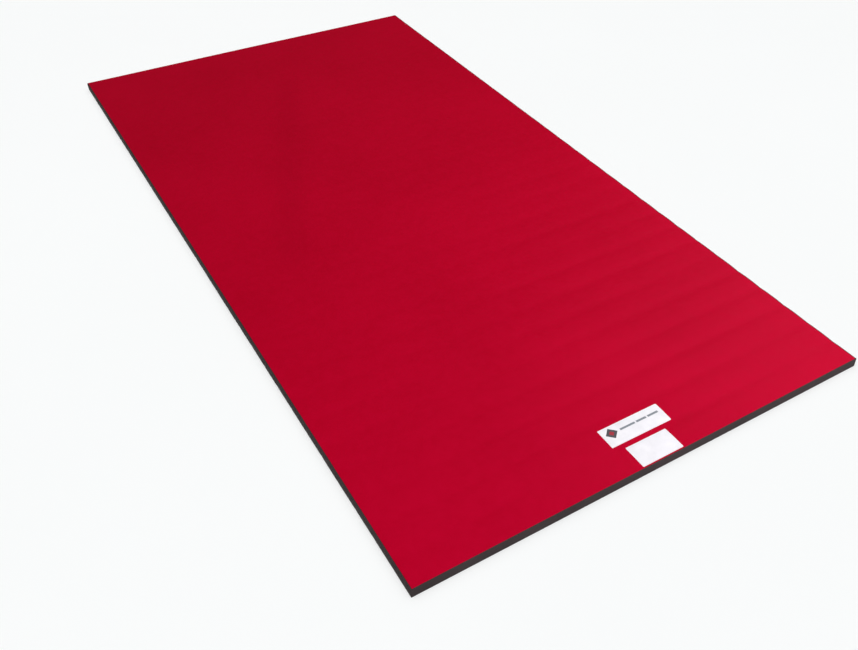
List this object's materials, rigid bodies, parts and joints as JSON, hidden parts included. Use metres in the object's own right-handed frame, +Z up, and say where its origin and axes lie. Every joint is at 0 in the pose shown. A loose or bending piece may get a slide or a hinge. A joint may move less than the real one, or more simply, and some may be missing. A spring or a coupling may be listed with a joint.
{
  "type": "roll-out gymnastics mat",
  "caption": "Long flat exercise mat: a thin red vinyl cover on a dark foam core that is slit across from below, so the mat rolls up with its cover inside.",
  "frame": {"origin": "middle of the flat underside, on the floor", "axes": "+X across the mat, +Y along its length away from the label end, +Z up through its thickness"},
  "size_m": [1.524, 3.048, 0.0322],
  "materials": {
    "foam": "charcoal closed-cell cross-linked foam, matte, cut edges",
    "vinyl": "red vinyl with a fine embossed grain and a soft sheen",
    "label": "smooth white printed film"
  },
  "bodies": {
    "strip_01": {"foam_strip_01": "foam", "vinyl_panel_01": "vinyl", "small_label": "label"},
    "strip_02": {"foam_strip_02": "foam", "vinyl_panel_02": "vinyl", "large_label": "label"},
    "strip_03": {"foam_strip_03": "foam", "vinyl_panel_03": "vinyl"},
    "strip_04": {"foam_strip_04": "foam", "vinyl_panel_04": "vinyl"},
    "strip_05": {"foam_strip_05": "foam", "vinyl_panel_05": "vinyl"},
    "strip_06": {"foam_strip_06": "foam", "vinyl_panel_06": "vinyl"},
    "strip_07": {"foam_strip_07": "foam", "vinyl_panel_07": "vinyl"},
    "strip_08": {"foam_strip_08": "foam", "vinyl_panel_08": "vinyl"},
    "strip_09": {"foam_strip_09": "foam", "vinyl_panel_09": "vinyl"},
    "strip_10": {"foam_strip_10": "foam", "vinyl_panel_10": "vinyl"},
    "strip_11": {"foam_strip_11": "foam", "vinyl_panel_11": "vinyl"},
    "strip_12": {"foam_strip_12": "foam", "vinyl_panel_12": "vinyl"},
    "strip_13": {"foam_strip_13": "foam", "vinyl_panel_13": "vinyl"},
    "strip_14": {"foam_strip_14": "foam", "vinyl_panel_14": "vinyl"},
    "strip_15": {"foam_strip_15": "foam", "vinyl_panel_15": "vinyl"},
    "strip_16": {"foam_strip_16": "foam", "vinyl_panel_16": "vinyl"},
    "strip_17": {"foam_strip_17": "foam", "vinyl_panel_17": "vinyl"},
    "strip_18": {"foam_strip_18": "foam", "vinyl_panel_18": "vinyl"},
    "strip_19": {"foam_strip_19": "foam", "vinyl_panel_19": "vinyl"},
    "strip_20": {"foam_strip_20": "foam", "vinyl_panel_20": "vinyl"},
    "strip_21": {"foam_strip_21": "foam", "vinyl_panel_21": "vinyl"},
    "strip_22": {"foam_strip_22": "foam", "vinyl_panel_22": "vinyl"},
    "strip_23": {"foam_strip_23": "foam", "vinyl_panel_23": "vinyl"},
    "strip_24": {"foam_strip_24": "foam", "vinyl_panel_24": "vinyl"},
    "strip_25": {"foam_strip_25": "foam", "vinyl_panel_25": "vinyl"},
    "strip_26": {"foam_strip_26": "foam", "vinyl_panel_26": "vinyl"},
    "strip_27": {"foam_strip_27": "foam", "vinyl_panel_27": "vinyl"},
    "strip_28": {"foam_strip_28": "foam", "vinyl_panel_28": "vinyl"},
    "strip_29": {"foam_strip_29": "foam", "vinyl_panel_29": "vinyl"}
  },
  "joints": [
    {"name": "slit_hinge_01", "type": "hinge", "parent": "strip_01", "child": "strip_02", "pos_m": [0, -1.429, 0.03175], "axis": [1, 0, 0], "range_deg": [0, 26.7]},
    {"name": "slit_hinge_02", "type": "hinge", "parent": "strip_02", "child": "strip_03", "pos_m": [0, -1.32354, 0.03175], "axis": [1, 0, 0], "range_deg": [0, 28.5]},
    {"name": "slit_hinge_03", "type": "hinge", "parent": "strip_03", "child": "strip_04", "pos_m": [0, -1.21807, 0.03175], "axis": [1, 0, 0], "range_deg": [0, 29]},
    {"name": "slit_hinge_04", "type": "hinge", "parent": "strip_04", "child": "strip_05", "pos_m": [0, -1.11261, 0.03175], "axis": [1, 0, 0], "range_deg": [0, 29.5]},
    {"name": "slit_hinge_05", "type": "hinge", "parent": "strip_05", "child": "strip_06", "pos_m": [0, -1.00714, 0.03175], "axis": [1, 0, 0], "range_deg": [0, 30]},
    {"name": "slit_hinge_06", "type": "hinge", "parent": "strip_06", "child": "strip_07", "pos_m": [0, -0.90168, 0.03175], "axis": [1, 0, 0], "range_deg": [0, 30.5]},
    {"name": "slit_hinge_07", "type": "hinge", "parent": "strip_07", "child": "strip_08", "pos_m": [0, -0.79621, 0.03175], "axis": [1, 0, 0], "range_deg": [0, 31.1]},
    {"name": "slit_hinge_08", "type": "hinge", "parent": "strip_08", "child": "strip_09", "pos_m": [0, -0.69075, 0.03175], "axis": [1, 0, 0], "range_deg": [0, 31.7]},
    {"name": "slit_hinge_09", "type": "hinge", "parent": "strip_09", "child": "strip_10", "pos_m": [0, -0.58529, 0.03175], "axis": [1, 0, 0], "range_deg": [0, 32.3]},
    {"name": "slit_hinge_10", "type": "hinge", "parent": "strip_10", "child": "strip_11", "pos_m": [0, -0.47982, 0.03175], "axis": [1, 0, 0], "range_deg": [0, 33]},
    {"name": "slit_hinge_11", "type": "hinge", "parent": "strip_11", "child": "strip_12", "pos_m": [0, -0.37436, 0.03175], "axis": [1, 0, 0], "range_deg": [0, 33.7]},
    {"name": "slit_hinge_12", "type": "hinge", "parent": "strip_12", "child": "strip_13", "pos_m": [0, -0.26889, 0.03175], "axis": [1, 0, 0], "range_deg": [0, 34.5]},
    {"name": "slit_hinge_13", "type": "hinge", "parent": "strip_13", "child": "strip_14", "pos_m": [0, -0.16343, 0.03175], "axis": [1, 0, 0], "range_deg": [0, 35.3]},
    {"name": "slit_hinge_14", "type": "hinge", "parent": "strip_14", "child": "strip_15", "pos_m": [0, -0.05796, 0.03175], "axis": [1, 0, 0], "range_deg": [0, 36.2]},
    {"name": "slit_hinge_15", "type": "hinge", "parent": "strip_15", "child": "strip_16", "pos_m": [0, 0.0475, 0.03175], "axis": [1, 0, 0], "range_deg": [0, 37.2]},
    {"name": "slit_hinge_16", "type": "hinge", "parent": "strip_16", "child": "strip_17", "pos_m": [0, 0.15296, 0.03175], "axis": [1, 0, 0], "range_deg": [0, 38.3]},
    {"name": "slit_hinge_17", "type": "hinge", "parent": "strip_17", "child": "strip_18", "pos_m": [0, 0.25843, 0.03175], "axis": [1, 0, 0], "range_deg": [0, 39.4]},
    {"name": "slit_hinge_18", "type": "hinge", "parent": "strip_18", "child": "strip_19", "pos_m": [0, 0.36389, 0.03175], "axis": [1, 0, 0], "range_deg": [0, 40.7]},
    {"name": "slit_hinge_19", "type": "hinge", "parent": "strip_19", "child": "strip_20", "pos_m": [0, 0.46936, 0.03175], "axis": [1, 0, 0], "range_deg": [0, 42]},
    {"name": "slit_hinge_20", "type": "hinge", "parent": "strip_20", "child": "strip_21", "pos_m": [0, 0.57482, 0.03175], "axis": [1, 0, 0], "range_deg": [0, 43.6]},
    {"name": "slit_hinge_21", "type": "hinge", "parent": "strip_21", "child": "strip_22", "pos_m": [0, 0.68029, 0.03175], "axis": [1, 0, 0], "range_deg": [0, 45.3]},
    {"name": "slit_hinge_22", "type": "hinge", "parent": "strip_22", "child": "strip_23", "pos_m": [0, 0.78575, 0.03175], "axis": [1, 0, 0], "range_deg": [0, 47.2]},
    {"name": "slit_hinge_23", "type": "hinge", "parent": "strip_23", "child": "strip_24", "pos_m": [0, 0.89121, 0.03175], "axis": [1, 0, 0], "range_deg": [0, 49.4]},
    {"name": "slit_hinge_24", "type": "hinge", "parent": "strip_24", "child": "strip_25", "pos_m": [0, 0.99668, 0.03175], "axis": [1, 0, 0], "range_deg": [0, 51.9]},
    {"name": "slit_hinge_25", "type": "hinge", "parent": "strip_25", "child": "strip_26", "pos_m": [0, 1.10214, 0.03175], "axis": [1, 0, 0], "range_deg": [0, 54.9]},
    {"name": "slit_hinge_26", "type": "hinge", "parent": "strip_26", "child": "strip_27", "pos_m": [0, 1.20761, 0.03175], "axis": [1, 0, 0], "range_deg": [0, 58.5]},
    {"name": "slit_hinge_27", "type": "hinge", "parent": "strip_27", "child": "strip_28", "pos_m": [0, 1.31307, 0.03175], "axis": [1, 0, 0], "range_deg": [0, 62.8]},
    {"name": "slit_hinge_28", "type": "hinge", "parent": "strip_28", "child": "strip_29", "pos_m": [0, 1.41854, 0.03175], "axis": [1, 0, 0], "range_deg": [0, 68.3]}
  ]
}
